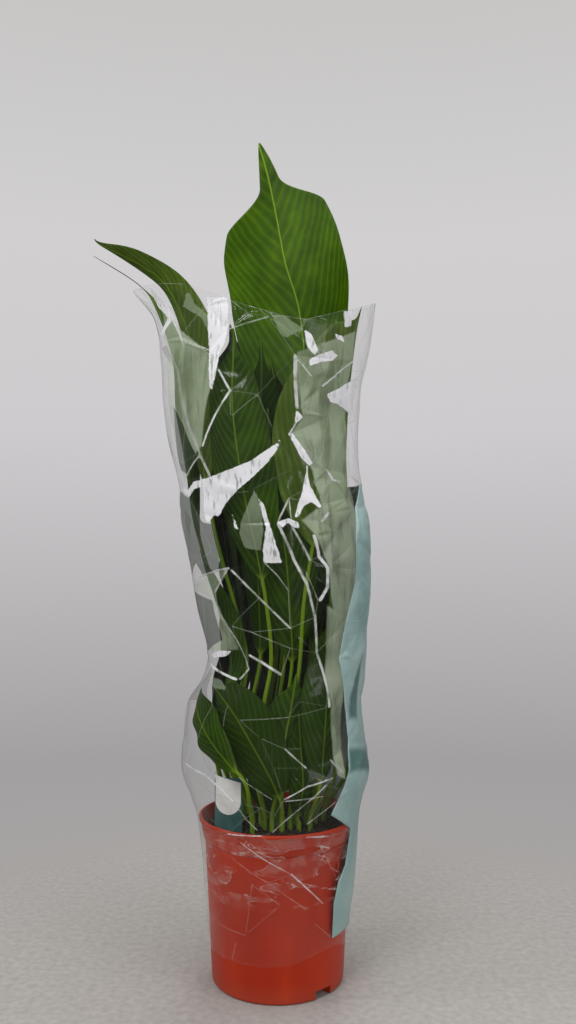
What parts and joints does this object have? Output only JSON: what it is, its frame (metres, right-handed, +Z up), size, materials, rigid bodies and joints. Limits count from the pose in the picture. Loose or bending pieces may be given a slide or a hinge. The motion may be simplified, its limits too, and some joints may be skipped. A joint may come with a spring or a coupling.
{
  "type": "potted peace lily",
  "caption": "Tall leafy peace lily in a terracotta-coloured plastic grower pot, in a crinkled clear sleeve with a teal back panel and a care tag in the soil.",
  "frame": {"origin": "middle of the pot's flat underside, on the pot's axis", "axes": "+Z up along the pot's axis; -Y towards the front, where the clear side of the sleeve and the care tag are; +X to the right seen from the front"},
  "size_m": [0.4479, 0.2726, 1.3396],
  "materials": {
    "pot_plastic": "injection-moulded polypropylene, terracotta orange, satin",
    "soil": "moist peat and bark potting mix, dark brown, rough",
    "leaf": "waxy living leaf with curved side veins and a paler midrib, semi-gloss",
    "film": "clear crinkled polypropylene sleeve film, glossy",
    "printed_film": "sleeve film printed in plain opaque teal, crinkled, satin gloss",
    "tag_card": "printed plastic tag, dark teal",
    "tag_tongue": "white plastic label, bare"
  },
  "bodies": {
    "root": {"pot": "pot_plastic", "soil": "soil", "leaf_01": "leaf", "leaf_02": "leaf", "leaf_03": "leaf", "leaf_04": "leaf", "leaf_05": "leaf", "leaf_06": "leaf", "leaf_07": "leaf", "leaf_08": "leaf", "leaf_09": "leaf", "leaf_10": "leaf", "leaf_11": "leaf", "leaf_12": "leaf", "leaf_13": "leaf", "leaf_14": "leaf", "leaf_15": "leaf", "leaf_16": "leaf", "leaf_17": "leaf", "leaf_18": "leaf", "leaf_19": "leaf", "leaf_20": "leaf", "leaf_21": "leaf", "leaf_22": "leaf", "leaf_23": "leaf", "leaf_24": "leaf", "leaf_25": "leaf", "leaf_26": "leaf", "leaf_27": "leaf", "leaf_28": "leaf", "leaf_29": "leaf", "leaf_30": "leaf", "leaf_31": "leaf", "leaf_32": "leaf", "leaf_33": "leaf", "leaf_34": "leaf", "sleeve_film": "film", "sleeve_back_panel": "printed_film", "care_tag": "tag_card", "care_tag_tongue": "tag_tongue"}
  },
  "joints": []
}
